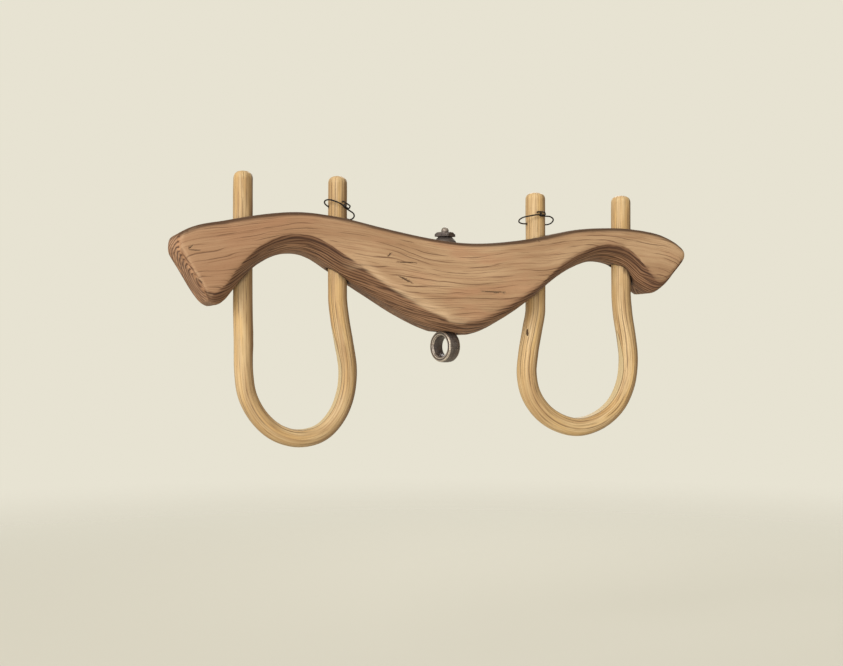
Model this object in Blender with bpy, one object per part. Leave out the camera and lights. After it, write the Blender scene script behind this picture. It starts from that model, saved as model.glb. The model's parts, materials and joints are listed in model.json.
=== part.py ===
"""Ox yoke: a carved beam, two bent bows, their wire keeper rings and a swivelling draft eye.

Frame: +X runs along the beam, +Y through it from front to back, +Z up.  The origin lies on the
draft bolt's axis, halfway through the beam, level with the crowns of the two neck seats.
"""
import math

import bmesh
import bpy
import numpy as np
from mathutils import Matrix, Vector

MM = 0.001

# ---- beam: outline seen from the front, (x, z) in millimetres -------------------------------
BEAM_TOP = [(-598, 0), (-594, 17), (-583, 29), (-558, 41), (-500, 54), (-420, 70), (-345, 78),
            (-270, 72), (-160, 51), (-60, 34), (40, 26), (110, 31), (200, 45), (290, 65),
            (380, 73), (460, 71), (530, 58), (568, 39), (582, 26), (588, 12)]
BEAM_UNDER = [(-533, -106), (-516, -117), (-492, -104), (-468, -74), (-442, -46), (-410, -22),
              (-378, -8), (-345, -3), (-312, -9), (-280, -27), (-240, -53), (-180, -89),
              (-110, -130), (-50, -158), (10, -174), (60, -168), (120, -138), (190, -92),
              (250, -46), (310, -14), (355, -1), (395, -1), (430, -12), (458, -36), (482, -61),
              (503, -75), (519, -64)]
TIP_START_LEFT = -430          # from here outwards the sections lean with the slanted ends
TIP_START_RIGHT = 430
# half of the beam's thickness along it, (x, half depth)
HALF_DEPTH = [(-598, 65), (-345, 67), (-200, 70), (200, 70), (345, 67), (588, 62)]
# height of the worked lower edge along the beam, and how far it eats into the depth
EDGE_RISE = [(-598, 22), (-500, 32), (-430, 36), (-345, 32), (-200, 37), (-60, 32), (60, 26),
             (200, 22), (345, 29), (430, 32), (500, 30), (588, 22)]
EDGE_INSET = [(-598, 18), (-500, 34), (-430, 46), (-345, 44), (-240, 42), (-110, 40), (-40, 46),
              (50, 46), (120, 38), (200, 34), (345, 44), (430, 46), (500, 36), (588, 18)]
TOP_EDGE = 11                  # rounding of the upper edges
END_EDGE = 9                   # rounding round the two slanted end faces
STATIONS = 58
UPPER_ARC_STEPS = 4
LOWER_ARC_STEPS = 5
CHAMFER_SHARE = 0.65           # 0 is a round lower edge, 1 a flat chamfer

# ---- bows ------------------------------------------------------------------------------------
BOW_PLAY = 1.5                 # between a leg and the wall of its hole
LEFT_BOW_RADIUS = 20.9
RIGHT_BOW_RADIUS = 23.1
BOW_SIDES = 16
BOW_STEP = 17                  # spacing of the rings of points round the bend
LEFT_LEGS = (-449, -246)       # x of the outer and the inner leg
RIGHT_LEGS = (443, 221)
LEFT_TOPS = (163, 163)         # height of each leg's top end
RIGHT_TOPS = (155, 151)
LEFT_STRAIGHT = (-105, -92)    # height at which each leg starts to bend
RIGHT_STRAIGHT = (-70, -112)
# centre line of each bend, from the outer leg round to the inner one
LEFT_BEND = [(-447, -190), (-446, -248), (-438, -298), (-414, -342), (-377, -374), (-330, -387),
             (-283, -377), (-249, -344), (-229, -297), (-224, -246), (-232, -190), (-241, -138)]
RIGHT_BEND = [(448, -125), (457, -176), (462, -228), (454, -282), (427, -332), (380, -366),
              (326, -378), (280, -368), (239, -343), (209, -302), (199, -258), (203, -210),
              (212, -162)]

# ---- wire keeper rings -----------------------------------------------------------------------
WIRE_RADIUS = 1.7
WIRE_SIDES = 8
WIRE_STEP = 4.5                # spacing of the points round a ring's side loops
WIRE_HOLE_RADIUS = 2.5
LEFT_RING_HEIGHT = 86
LEFT_RING_SLOPE = -30          # degrees that the drilled hole drops towards the middle
RIGHT_RING_HEIGHT = 80
RIGHT_RING_SLOPE = 0
LEFT_RING_LIFT = 18            # degrees that each ring stands above level in front of its leg
RIGHT_RING_LIFT = 30
LEFT_RING_SIDES = (38, 32)     # how far each ring reaches to -X and to +X of its leg's middle
RIGHT_RING_SIDES = (46, 38)
RING_REACH = 35.5                # from the drilled hole to the front wire
CATCH_LENGTH = 20              # one end of the wire is folded back on itself as a catch
CATCH_HEIGHT = 8.6
CATCH_CORNER = 2.6
HOOK_PLACE = -2                # where the other end hooks through the catch, along the front
HOOK_DEGREES = 250
WIRE_CLEARANCE = 0.5

# ---- draft eye, nut and washer ---------------------------------------------------------------
EYE_RIM_RADIUS = 32.4          # outside of the band at its two rims
EYE_CROWN = 2.8                # how much fuller the band is outside, halfway between the rims
EYE_HOLE_RADIUS = 26.2         # inside of the band at its rims
EYE_SWELL = 5                  # how much it closes in halfway between them
EYE_WIDTH = 31
EYE_PROFILE_STEPS = 6
EYE_TURN = 71                  # degrees that the eye is turned from facing straight forwards
EYE_SEGMENTS = 44
SEAT_RADIUS = 33.5             # shallow round seat for the eye in the beam's underside
SEAT_HEIGHT = -160.7
EYE_TOP = -161.3
SHANK_RADIUS = 9.4
SHANK_HOLE_RADIUS = 10.4
SHANK_COLLAR = 13
SHANK_COLLAR_TOP = -161.1
SHANK_FOOT = -166.8            # where the shank ends inside the band
SHANK_SEGMENTS = 24
WASHER_SEAT = 27.5             # level seat for the washer, cut into the beam's sloping top
WASHER_SEAT_RADIUS = 26.5
WASHER_RADIUS = 25
WASHER_HEIGHT = 15.5
WASHER_CROWN_RADIUS = 15
NUT_WIDTH = 36
NUT_HEIGHT = 9.5
NUT_CHAMFER = 4                # down from the nut's top
NUT_CORNER = 1.5               # taken off its corners below the chamfer
NUT_TOP_CORNER = 7             # and at its top
NUT_TURN = 38
NUT_BORE_RADIUS = 9.75
BALL_RADIUS = 8.6              # the shank's end, worked to a ball above the nut
BALL_MIDDLE = 3.2              # above the nut
NECK_RADIUS = 6.6
NECK_DROP = 1.5                # below the nut's top
FIT_GAP = 0.3
ROUND_SIDES = 32
CUT_LOW = -250                 # cutters along Z run between these heights
CUT_HIGH = 120

BEAM_BROWN = (0.30, 0.17, 0.10, 1)
BOW_TAN = (0.58, 0.38, 0.18, 1)
IRON_GREY = (0.055, 0.048, 0.045, 1)
WIRE_BLACK = (0.03, 0.026, 0.024, 1)


def clear_scene():
    for thing in list(bpy.data.objects):
        bpy.data.objects.remove(thing, do_unlink=True)


def material(name, colour, roughness, metallic):
    made = bpy.data.materials.new(name)
    made.use_nodes = True
    shader = made.node_tree.nodes["Principled BSDF"]
    shader.inputs["Base Color"].default_value = colour
    shader.inputs["Roughness"].default_value = roughness
    shader.inputs["Metallic"].default_value = metallic
    return made


def smooth_values(points, wanted):
    """Heights at the wanted places on a smooth curve through points given in rising order."""
    places = np.array([p[0] for p in points], float)
    heights = np.array([p[1] for p in points], float)
    slopes = np.gradient(heights, places)
    index = np.clip(np.searchsorted(places, wanted) - 1, 0, len(places) - 2)
    span = places[index + 1] - places[index]
    t = (wanted - places[index]) / span
    from_start = (1 + 2 * t) * (1 - t) ** 2 * heights[index] + t * (1 - t) ** 2 * span * slopes[index]
    from_end = t * t * (3 - 2 * t) * heights[index + 1] + t * t * (t - 1) * span * slopes[index + 1]
    return from_start + from_end


def smooth_path(points, spacing):
    """Evenly spaced points on a smooth curve through the given ones, both ends included."""
    knots = np.array(points, float)
    steps = np.linalg.norm(np.diff(knots, axis=0), axis=1)
    along = np.concatenate([[0], np.cumsum(steps)])
    wanted = np.linspace(0, along[-1], max(2, round(along[-1] / spacing)) + 1)
    columns = [smooth_values(list(zip(along, knots[:, k])), wanted) for k in range(knots.shape[1])]
    return np.stack(columns, axis=1)


def new_object(name, mesh_data, finish, location=(0, 0, 0)):
    """Object from a bmesh; a cutter or a guide has no finish."""
    mesh = bpy.data.meshes.new(name)
    bmesh.ops.recalc_face_normals(mesh_data, faces=mesh_data.faces)
    mesh_data.to_mesh(mesh)
    mesh_data.free()
    mesh.shade_smooth()
    mesh.set_sharp_from_angle(angle=math.radians(40))
    made = bpy.data.objects.new(name, mesh)
    made.location = location
    if finish is not None:
        mesh.materials.append(finish)
    bpy.context.collection.objects.link(made)
    return made


def loft(rings):
    """Closed body through rings of points, each ring with as many points, capped at both ends."""
    body = bmesh.new()
    rows = [[body.verts.new(Vector(point) * MM) for point in ring] for ring in rings]
    for first, second in zip(rows, rows[1:]):
        for k in range(len(first)):
            after = (k + 1) % len(first)
            body.faces.new((first[k], first[after], second[after], second[k]))
    body.faces.new(rows[0])
    body.faces.new(rows[-1])
    return body


def guide(thing):
    thing.hide_render = True
    thing.display_type = "WIRE"
    thing.hide_set(True)
    return thing


def cut(target, cutter):
    change = target.modifiers.new(cutter.name, "BOOLEAN")
    change.operation = "DIFFERENCE"
    change.solver = "EXACT"
    change.object = guide(cutter)


def join(target, other):
    change = target.modifiers.new(other.name, "BOOLEAN")
    change.operation = "UNION"
    change.solver = "EXACT"
    change.object = guide(other)


def upright_bar(name, x, radius, low=CUT_LOW, high=CUT_HIGH, sides=ROUND_SIDES):
    """A round cutter along Z."""
    circle = [2 * math.pi * k / sides for k in range(sides)]
    rings = [[(x + radius * math.cos(a), radius * math.sin(a), z) for a in circle]
             for z in (low, high)]
    return new_object(name, loft(rings), None)


def beam_stations():
    """Pairs of upper and lower x, from the left end to the right, with the inset at the ends."""
    left_top, right_top = BEAM_TOP[0][0], BEAM_TOP[-1][0]
    left_under, right_under = BEAM_UNDER[0][0], BEAM_UNDER[-1][0]
    anchors = [left_top, TIP_START_LEFT, TIP_START_RIGHT, right_top]
    lower = [left_under, TIP_START_LEFT, TIP_START_RIGHT, right_under]
    rounding = [END_EDGE * (1 - math.cos(math.radians(a))) for a in (0, 30, 60)]
    insets = [END_EDGE * (1 - math.sin(math.radians(a))) for a in (0, 30, 60)]
    inner = np.linspace(left_top + END_EDGE, right_top - END_EDGE, STATIONS)
    tops = [left_top + r for r in rounding] + list(inner) + [right_top - r for r in rounding[::-1]]
    shrink = insets + [0] * STATIONS + insets[::-1]
    return [(top, float(np.interp(top, anchors, lower)), inset) for top, inset in zip(tops, shrink)]


def beam_section(top_x, under_x, inset):
    """One ring round the beam, in the leaning plane through its upper and lower outline."""
    upper = Vector((top_x, 0, float(smooth_values(BEAM_TOP, np.array([top_x]))[0])))
    lower = Vector((under_x, 0, float(smooth_values(BEAM_UNDER, np.array([under_x]))[0])))
    down = (lower - upper).normalized()
    height = (lower - upper).length - 2 * inset
    upper += down * inset
    half = float(np.interp(top_x, *zip(*HALF_DEPTH))) - inset
    rise = float(np.interp(top_x, *zip(*EDGE_RISE)))
    eaten = float(np.interp(top_x, *zip(*EDGE_INSET)))
    side = []
    for k in range(UPPER_ARC_STEPS + 1):
        turn = math.pi / 2 * k / UPPER_ARC_STEPS
        side.append((half - TOP_EDGE * (1 - math.sin(turn)), TOP_EDGE * (1 - math.cos(turn))))
    for k in range(LOWER_ARC_STEPS + 1):
        share = k / LOWER_ARC_STEPS
        turn = math.pi / 2 * share
        inward = (1 - CHAMFER_SHARE) * (1 - math.cos(turn)) + CHAMFER_SHARE * share
        drop = (1 - CHAMFER_SHARE) * math.sin(turn) + CHAMFER_SHARE * share
        side.append((half - eaten * inward, height - rise * (1 - drop)))
    loop = [(-y, d) for y, d in side] + [(y, d) for y, d in reversed(side)]
    return [tuple(upper + down * d + Vector((0, y, 0))) for y, d in loop]


def make_beam(finish):
    rings = [beam_section(*station) for station in beam_stations()]
    beam = new_object("yoke_beam", loft(rings), finish)
    for name, legs, radius in (("left", LEFT_LEGS, LEFT_BOW_RADIUS),
                               ("right", RIGHT_LEGS, RIGHT_BOW_RADIUS)):
        for place, x in zip(("outer", "inner"), legs):
            cut(beam, upright_bar(f"{name}_{place}_bow_hole", x, radius + BOW_PLAY))
    cut(beam, upright_bar("shank_hole", 0, SHANK_HOLE_RADIUS, sides=SHANK_SEGMENTS))
    cut(beam, upright_bar("eye_seat", 0, SEAT_RADIUS, high=SEAT_HEIGHT))
    cut(beam, upright_bar("washer_seat", 0, WASHER_SEAT_RADIUS, low=WASHER_SEAT))
    return beam


def bow_centre_line(legs, tops, straight, bend):
    """Points and tangents down the outer leg, round the bend and up the inner leg."""
    (outer_x, inner_x), (outer_top, inner_top) = legs, tops
    outer_end, inner_end = straight
    lead = 12
    curve = smooth_path([(outer_x, outer_end + lead), (outer_x, outer_end)] + bend
                        + [(inner_x, inner_end), (inner_x, inner_end + lead)], BOW_STEP)
    tangents = np.gradient(curve, axis=0)
    tangents /= np.linalg.norm(tangents, axis=1)[:, None]
    tangents[0] = (0, -1)
    tangents[-1] = (0, 1)
    points = [(outer_x, outer_top)] + [tuple(p) for p in curve] + [(inner_x, inner_top)]
    return points, [(0, -1)] + [tuple(t) for t in tangents] + [(0, 1)]


def bow_ring(centre, tangent, radius):
    across = Vector((-tangent[1], 0, tangent[0]))
    middle = Vector((centre[0], 0, centre[1]))
    ring = []
    for k in range(BOW_SIDES):
        turn = 2 * math.pi * k / BOW_SIDES
        ring.append(tuple(middle + across * radius * math.cos(turn)
                          + Vector((0, radius * math.sin(turn), 0))))
    return ring


def make_bow(name, finish, radius, legs, tops, straight, bend, ring_hole):
    """One bow, its wire's hole cut through the inner leg."""
    points, tangents = bow_centre_line(legs, tops, straight, bend)
    # each top end is whittled to a low dome: (drop below the top, radius)
    dome = [(0, 0.25), (1.8, 0.55), (5, 0.82), (9, 0.95), (14, 1.0)]
    rings = []
    for drop, share in dome:
        rings.append(bow_ring((points[0][0], points[0][1] - drop), (0, -1), radius * share))
    for centre, tangent in zip(points[1:-1], tangents[1:-1]):
        rings.append(bow_ring(centre, tangent, radius))
    for drop, share in reversed(dome):
        rings.append(bow_ring((points[-1][0], points[-1][1] - drop), (0, 1), radius * share))
    bow = new_object(name, loft(rings), finish)
    cut(bow, ring_hole)
    return bow


def ring_frame(leg_x, height, slope, lift=0):
    """Local axes of a keeper ring: along its drilled hole, out in front, and square to both."""
    along = Vector((math.cos(math.radians(slope)), 0, math.sin(math.radians(slope))))
    level_front = Vector((0, -1, 0))
    front = (Matrix.Rotation(math.radians(-lift), 3, along) @ level_front).normalized()
    lifted = front.cross(along).normalized()
    if lifted.z < 0:
        lifted = -lifted
    return Vector((leg_x, 0, height)), along, front, lifted


def ring_hole_cutter(name, leg_x, height, slope):
    middle, along, _front, _lifted = ring_frame(leg_x, height, slope)
    side = along.cross(Vector((0, 1, 0)))
    sides = 10
    reach = 2 * RIGHT_BOW_RADIUS
    rings = []
    for place in (-reach, reach):
        ring = []
        for k in range(sides):
            turn = 2 * math.pi * k / sides
            offset = Vector((0, 1, 0)) * math.cos(turn) + side * math.sin(turn)
            ring.append(tuple(middle + along * place + offset * WIRE_HOLE_RADIUS))
        rings.append(ring)
    return new_object(name, loft(rings), None)


def arc(centre, radius, start, end, steps):
    """Points on a circle, from one angle to another in degrees, both ends included."""
    turns = [math.radians(start + (end - start) * k / steps) for k in range(steps + 1)]
    return [(centre[0] + radius * math.cos(t), centre[1] + radius * math.sin(t)) for t in turns]


def side_loop(side, mouth):
    """From the drilled hole's mouth round one side of the leg to its front: (along, front)."""
    spare = side - mouth
    rough = [(mouth - 8, 0), (mouth + 2.5, 0), (mouth + 0.55 * spare, 1),
             (mouth + 0.86 * spare, 5), (side, 13.5), (mouth + 0.8 * spare, 22.5),
             (mouth + 0.15 * spare, 30), (CATCH_LENGTH / 2 + 3, RING_REACH)]
    return smooth_path(rough, WIRE_STEP)


def ring_route(sides, mouth):
    """The wire's centre line in the ring's own axes: (along, front, lifted)."""
    beside = 2 * WIRE_RADIUS + WIRE_CLEARANCE
    behind = RING_REACH - beside
    corner = CATCH_LENGTH / 2 - CATCH_CORNER
    # the catch: the end's tip, the upper strand, the squared fold and the lower strand
    route = [(-corner - 2.2, RING_REACH, CATCH_HEIGHT - 4)]
    route += [(-corner - 1.2, RING_REACH, CATCH_HEIGHT - 1)]
    route += [(-corner + 1, RING_REACH, CATCH_HEIGHT)]
    route += [(a, RING_REACH, c)
              for a, c in arc((corner, CATCH_HEIGHT - CATCH_CORNER), CATCH_CORNER, 90, 0, 3)]
    route += [(a, RING_REACH, c) for a, c in arc((corner, CATCH_CORNER), CATCH_CORNER, 0, -90, 3)]
    # round one side of the leg, through its drilled hole and round the other side
    route += [(-a, f, 0) for a, f in reversed(side_loop(sides[0], mouth))]
    route += [(a, min(f, behind), 0) for a, f in side_loop(sides[1], mouth)]
    # the hook: behind the lower strand, up through the catch, over and under the strand
    route += [(HOOK_PLACE, f, c)
              for f, c in arc((RING_REACH, 0), beside, 180, 180 - HOOK_DEGREES, 10)]
    return route


def make_ring(name, finish, leg_x, leg_radius, sides, height, slope, lift):
    """One keeper ring, its origin on the axis of the hole it swings in."""
    middle, along, front, lifted = ring_frame(leg_x, height, slope, lift)
    # a slanting hole breaks out of the leg farther from the middle
    mouth = leg_radius / math.cos(math.radians(slope))
    route = [along * a + front * f + lifted * c for a, f, c in ring_route(sides, mouth)]
    curve = bpy.data.curves.new(name, "CURVE")
    curve.dimensions = "3D"
    curve.bevel_depth = WIRE_RADIUS * MM
    curve.bevel_resolution = WIRE_SIDES // 4
    curve.use_fill_caps = True
    spline = curve.splines.new("POLY")
    spline.points.add(len(route) - 1)
    for point, place in zip(spline.points, route):
        point.co = (*(place * MM), 1)
    curve.materials.append(finish)
    made = bpy.data.objects.new(name, curve)
    made.location = middle * MM
    bpy.context.collection.objects.link(made)
    return made


def turned(name, profile, segments, finish):
    """A body turned about Z from its profile, (radius, z), which starts and ends on the axis."""
    body = bmesh.new()
    edges = []
    verts = [body.verts.new((r * MM, 0, z * MM)) for r, z in profile]
    for first, second in zip(verts, verts[1:]):
        edges.append(body.edges.new((first, second)))
    bmesh.ops.spin(body, geom=verts + edges, axis=(0, 0, 1), cent=(0, 0, 0), steps=segments,
                   angle=2 * math.pi, use_merge=True)
    bmesh.ops.remove_doubles(body, verts=body.verts, dist=0.00001)
    return new_object(name, body, finish)


def eye_band():
    """The iron band of the eye, facing along -Y, about its own centre, fuller in its middle."""
    half = EYE_WIDTH / 2
    outside = []
    inside = []
    for k in range(EYE_PROFILE_STEPS + 1):
        share = -1 + 2 * k / EYE_PROFILE_STEPS
        place = half * (1.5 * share - 0.5 * share ** 3)
        fullness = 1 - share * share
        outside.append((EYE_RIM_RADIUS + EYE_CROWN * fullness, place))
        inside.append((EYE_HOLE_RADIUS - EYE_SWELL * fullness, place))
    profile = outside + inside[::-1]
    body = bmesh.new()
    rows = []
    for k in range(EYE_SEGMENTS):
        turn = 2 * math.pi * (k + 0.5) / EYE_SEGMENTS
        rows.append([body.verts.new(Vector((r * math.cos(turn), y, r * math.sin(turn))) * MM)
                     for r, y in profile])
    for first, second in zip(rows, rows[1:] + rows[:1]):
        for k in range(len(profile)):
            after = (k + 1) % len(profile)
            body.faces.new((first[k], first[after], second[after], second[k]))
    return body


def make_draft_eye(finish):
    centre = EYE_TOP - EYE_RIM_RADIUS - EYE_CROWN
    band = new_object("draft_eye", eye_band(), finish, (0, 0, centre * MM))
    band.rotation_euler = (0, 0, math.radians(-EYE_TURN))
    nut_top = WASHER_SEAT + WASHER_HEIGHT + 2 * FIT_GAP + NUT_HEIGHT
    profile = [(0, SHANK_FOOT), (SHANK_COLLAR, SHANK_FOOT), (SHANK_COLLAR, SHANK_COLLAR_TOP),
               (SHANK_RADIUS, SHANK_COLLAR_TOP), (SHANK_RADIUS, nut_top - NECK_DROP),
               (NECK_RADIUS, nut_top)]
    middle = nut_top + BALL_MIDDLE
    for k in range(6):
        turn = math.radians(-20 + k * 20)
        profile.append((BALL_RADIUS * math.cos(turn), middle + BALL_RADIUS * math.sin(turn)))
    profile.append((0, middle + BALL_RADIUS))
    shank = turned("eye_shank", profile, SHANK_SEGMENTS, None)
    join(band, shank)
    return band


def make_washer(finish):
    """Domed washer let into a level seat on the sloping top of the beam."""
    low = WASHER_SEAT + FIT_GAP
    high = low + WASHER_HEIGHT
    dome = [(WASHER_RADIUS, low), (WASHER_RADIUS, low + 3), (WASHER_RADIUS - 1.5, low + 6.5),
            (WASHER_RADIUS - 4.5, low + 10), (WASHER_CROWN_RADIUS + 1, high - 1.2),
            (WASHER_CROWN_RADIUS, high), (SHANK_HOLE_RADIUS, high), (SHANK_HOLE_RADIUS, low)]
    return turned_ring("draft_washer", dome, finish)


def turned_ring(name, profile, finish):
    """A body turned about Z from a closed profile, (radius, z), which stays off the axis."""
    body = bmesh.new()
    rows = []
    for k in range(ROUND_SIDES):
        turn = 2 * math.pi * k / ROUND_SIDES
        rows.append([body.verts.new(Vector((r * math.cos(turn), r * math.sin(turn), z)) * MM)
                     for r, z in profile])
    for first, second in zip(rows, rows[1:] + rows[:1]):
        for k in range(len(profile)):
            after = (k + 1) % len(profile)
            body.faces.new((first[k], first[after], second[after], second[k]))
    return new_object(name, body, finish)


def make_nut(finish):
    """Square forged nut with its upper corners chamfered."""
    low = WASHER_SEAT + WASHER_HEIGHT + 2 * FIT_GAP
    half = NUT_WIDTH / 2
    rings = []
    for z, corner in ((low, NUT_CORNER), (low + NUT_HEIGHT - NUT_CHAMFER, NUT_CORNER),
                      (low + NUT_HEIGHT, NUT_TOP_CORNER)):
        ring = []
        for k in range(ROUND_SIDES):
            turn = 2 * math.pi * (k + 0.5) / ROUND_SIDES
            reach = min(half / max(abs(math.cos(turn)), abs(math.sin(turn))),
                        half * math.sqrt(2) - corner)
            ring.append((reach * math.cos(turn), reach * math.sin(turn), z))
        rings.append(ring)
    nut = new_object("draft_nut", loft(rings), finish)
    nut.rotation_euler = (0, 0, math.radians(NUT_TURN))
    cut(nut, upright_bar("nut_bore", 0, NUT_BORE_RADIUS, sides=SHANK_SEGMENTS))
    return nut


def main():
    clear_scene()
    make_beam(material("beam_wood", BEAM_BROWN, 0.6, 0))
    left_hole = ring_hole_cutter("left_wire_hole", LEFT_LEGS[1], LEFT_RING_HEIGHT, LEFT_RING_SLOPE)
    make_bow("left_bow", material("left_bow_wood", BOW_TAN, 0.55, 0), LEFT_BOW_RADIUS, LEFT_LEGS,
             LEFT_TOPS, LEFT_STRAIGHT, LEFT_BEND, left_hole)
    right_hole = ring_hole_cutter("right_wire_hole", RIGHT_LEGS[1], RIGHT_RING_HEIGHT,
                                  RIGHT_RING_SLOPE)
    make_bow("right_bow", material("right_bow_wood", BOW_TAN, 0.55, 0), RIGHT_BOW_RADIUS,
             RIGHT_LEGS, RIGHT_TOPS, RIGHT_STRAIGHT, RIGHT_BEND, right_hole)
    make_ring("left_bow_ring", material("left_ring_wire", WIRE_BLACK, 0.5, 1), LEFT_LEGS[1],
              LEFT_BOW_RADIUS, LEFT_RING_SIDES, LEFT_RING_HEIGHT, LEFT_RING_SLOPE,
              LEFT_RING_LIFT)
    make_ring("right_bow_ring", material("right_ring_wire", WIRE_BLACK, 0.5, 1), RIGHT_LEGS[1],
              RIGHT_BOW_RADIUS, RIGHT_RING_SIDES, RIGHT_RING_HEIGHT, RIGHT_RING_SLOPE,
              RIGHT_RING_LIFT)
    make_draft_eye(material("draft_iron", IRON_GREY, 0.45, 1))
    make_washer(material("washer_iron", IRON_GREY, 0.45, 1))
    make_nut(material("nut_iron", IRON_GREY, 0.45, 1))


main()
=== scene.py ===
"""Looks of an ox yoke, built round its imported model.

The carved beam, the forged draft eye with its nut and washer, and the wire rings are finer
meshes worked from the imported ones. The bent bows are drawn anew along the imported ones' lines.
The wood and the iron are procedural.
"""

import json
import math

import bmesh
import bpy
import numpy as np
from mathutils import Matrix, Vector
from mathutils.bvhtree import BVHTree
from mathutils.kdtree import KDTree


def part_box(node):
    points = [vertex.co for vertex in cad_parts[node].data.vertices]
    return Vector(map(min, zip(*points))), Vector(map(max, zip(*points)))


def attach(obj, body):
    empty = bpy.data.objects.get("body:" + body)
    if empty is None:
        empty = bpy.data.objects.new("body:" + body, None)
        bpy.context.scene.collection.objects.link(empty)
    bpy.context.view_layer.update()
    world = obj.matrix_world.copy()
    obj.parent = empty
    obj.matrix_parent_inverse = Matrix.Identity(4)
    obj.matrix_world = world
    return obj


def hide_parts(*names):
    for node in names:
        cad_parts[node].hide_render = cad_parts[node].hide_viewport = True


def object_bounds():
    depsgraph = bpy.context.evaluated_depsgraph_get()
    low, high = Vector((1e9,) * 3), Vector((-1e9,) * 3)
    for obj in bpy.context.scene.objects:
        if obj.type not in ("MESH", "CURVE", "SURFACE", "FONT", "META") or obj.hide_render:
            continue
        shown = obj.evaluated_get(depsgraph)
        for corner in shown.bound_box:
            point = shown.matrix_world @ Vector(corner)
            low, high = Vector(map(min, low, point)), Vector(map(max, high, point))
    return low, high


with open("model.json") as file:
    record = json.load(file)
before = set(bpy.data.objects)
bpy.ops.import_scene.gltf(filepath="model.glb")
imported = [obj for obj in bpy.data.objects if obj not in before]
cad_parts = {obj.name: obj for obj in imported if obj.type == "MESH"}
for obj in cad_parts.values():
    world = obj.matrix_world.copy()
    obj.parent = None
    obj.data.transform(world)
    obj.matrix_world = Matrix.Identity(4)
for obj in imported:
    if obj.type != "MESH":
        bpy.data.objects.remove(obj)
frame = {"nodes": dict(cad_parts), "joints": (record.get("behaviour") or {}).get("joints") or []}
cad_low, cad_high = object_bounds()

MM = 0.001

# ---- camera, stage and light -----------------------------------------------------------------
CAMERA_TURN = math.radians(21.5)     # to the left of the beam's square front
CAMERA_DISTANCE = 2.6
CAMERA_ASIDE = -0.0514
CAMERA_HEIGHT = -0.213
CAMERA_TILT = math.radians(1.012)
CAMERA_LENS = 50.78
FLOOR_BELOW = 0.62                   # from the bows' lowest point down to the floor
FLOOR_RADIUS = 9.0
FLOOR_FADE = (1.0, 0.6 * FLOOR_RADIUS)   # from its middle: where it starts to fade, and is gone
PAPER = (0.800, 0.765, 0.645)        # the pale cream all round
FLOOR_CREAM = (0.668, 0.647, 0.580, 1)
LIGHT_FROM = (-0.80, -0.35, 0.48)    # the way to the brightest part of the soft light
SOFT_LIGHT = (0.15, 1.15)            # its strength opposite that part, and there
LAMP_AIM = (0, 0, -0.1)
# lamps: name, place, width in metres, power in watts
LAMPS = [("key", (-6.6, -5.6, 3.4), 4.6, 515),
         ("fill", (-2.6, -5.2, -0.3), 2.5, 62),
         ("back", (1.6, 2.4, 2.0), 1.8, 42)]

# ---- smoothing -------------------------------------------------------------------------------
EASE_IN = 0.6                        # each point's step towards the mean of its neighbours
EASE_OUT = 0.62                      # and the step back out, which stops it shrinking
WEAR_STEP = 0.5                      # the step where corners are to wear

# ---- beam ------------------------------------------------------------------------------------
BEAM_VOXEL = 2.9 * MM
BEAM_EASING = 14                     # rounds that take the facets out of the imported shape
SOFTENING = 18                       # rounds that wear the beam's corners
BOW_PLAY = 1.5 * MM                  # between a bow's leg and the wall of its hole
SHANK_HOLE = 10.4 * MM               # radius of the draft bolt's hole
CRISP_RIM = (1 * MM, 7 * MM)         # from a hole's wall: where wear starts, and is full
GRIME_AND_SHADE_RIM = (0, 8 * MM)              # from a hole's wall: where the dirt and painted shade start to fade, and are gone
CHISEL_CELL = (58.0, 24.0, 24.0)     # one tool mark, in mm, along the beam and round it
CHISEL_DEPTH = 0.55 * MM
UNEVEN_SIZE = (0.11, 0.05, 0.05)
UNEVEN_DEPTH = 0.25 * MM
DENT_SIZE = (0.016, 0.012, 0.012)
DENT_DEPTH = 0.9 * MM
OUTLINE_STEP = 6 * MM
OUTLINE_MEAN = 7                     # steps that an outline is averaged over
BAND_FOLLOW = 0.8                    # how closely the strokes below follow the underside
NECK_FLOW = -0.045                   # they follow it less where it is lower than this
BELLY_MELT = 14                      # rounds that blend the belly's front and underside
RING_CENTRE = (-0.080, -0.074)       # (y, z) of the growth rings' middle
RING_FLATNESS = 1.9                  # how many times wider than high the rings are

# ---- bows ------------------------------------------------------------------------------------
BOW_STEP = 2.6 * MM
BOW_SIDES = 48
DOME_DEPTH = 14 * MM
DOME_ROWS = 9
DOME_DOWN = [0, 0.06, 0.2, 0.42, 0.68, 1.0]          # down a leg's top, in dome depths
DOME_WIDTH = [0.22, 0.45, 0.70, 0.87, 0.96, 1.0]     # share of the full width there
WHITTLED_SIDES = 9
WHITTLED_RUN = 0.09                  # how far the sides run before they wander
KNIFE_RUN = 0.035                    # one knife mark along the bow
KNIFE_DEPTH = 0.45                   # in mm
SLOW_DEPTH = 0.7                     # unevenness under the knife marks, in mm
INNER_FLAT = 4.0 * MM                # shaved off the inside of each bend
BEND = (0.24, 0.42)                  # from a leg's top: where that flat starts, and is full
SHARP_ANGLE = math.radians(50)
SHADED_SIDE = (0.93, 0.10, -0.30)     # the way that the bows' brown sides of painted shade face

# ---- iron ------------------------------------------------------------------------------------
DENT_SPREAD = 0.0075                 # the hammer's dents, and finer ones between them
FINE_SPREAD = 0.0028
SCALE_PALER = 1.7                    # the pale parts of the iron's scale against the dark ones
ABOVE_BEAM_SHARE = 0.35                     # wear and painted highlight above the beam, against 1 below it

# ---- checks, holes and a nick ----------------------------------------------------------------
# drying checks: (x, z, length, slope, width, depth) in mm
FRONT_CHECKS = [(-430, 39, 70, 0.09, 1.2, 4), (-154, -6, 10, 0.55, 2.2, 4),
                (-116, -21, 46, -0.04, 1.8, 4), (-119, -57, 36, -0.48, 2.0, 4),
                (84, -78, 60, -0.05, 1.4, 4), (192, 37, 16, -0.30, 1.8, 3),
                (455, 12, 50, -0.06, 1.2, 4)]
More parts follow.
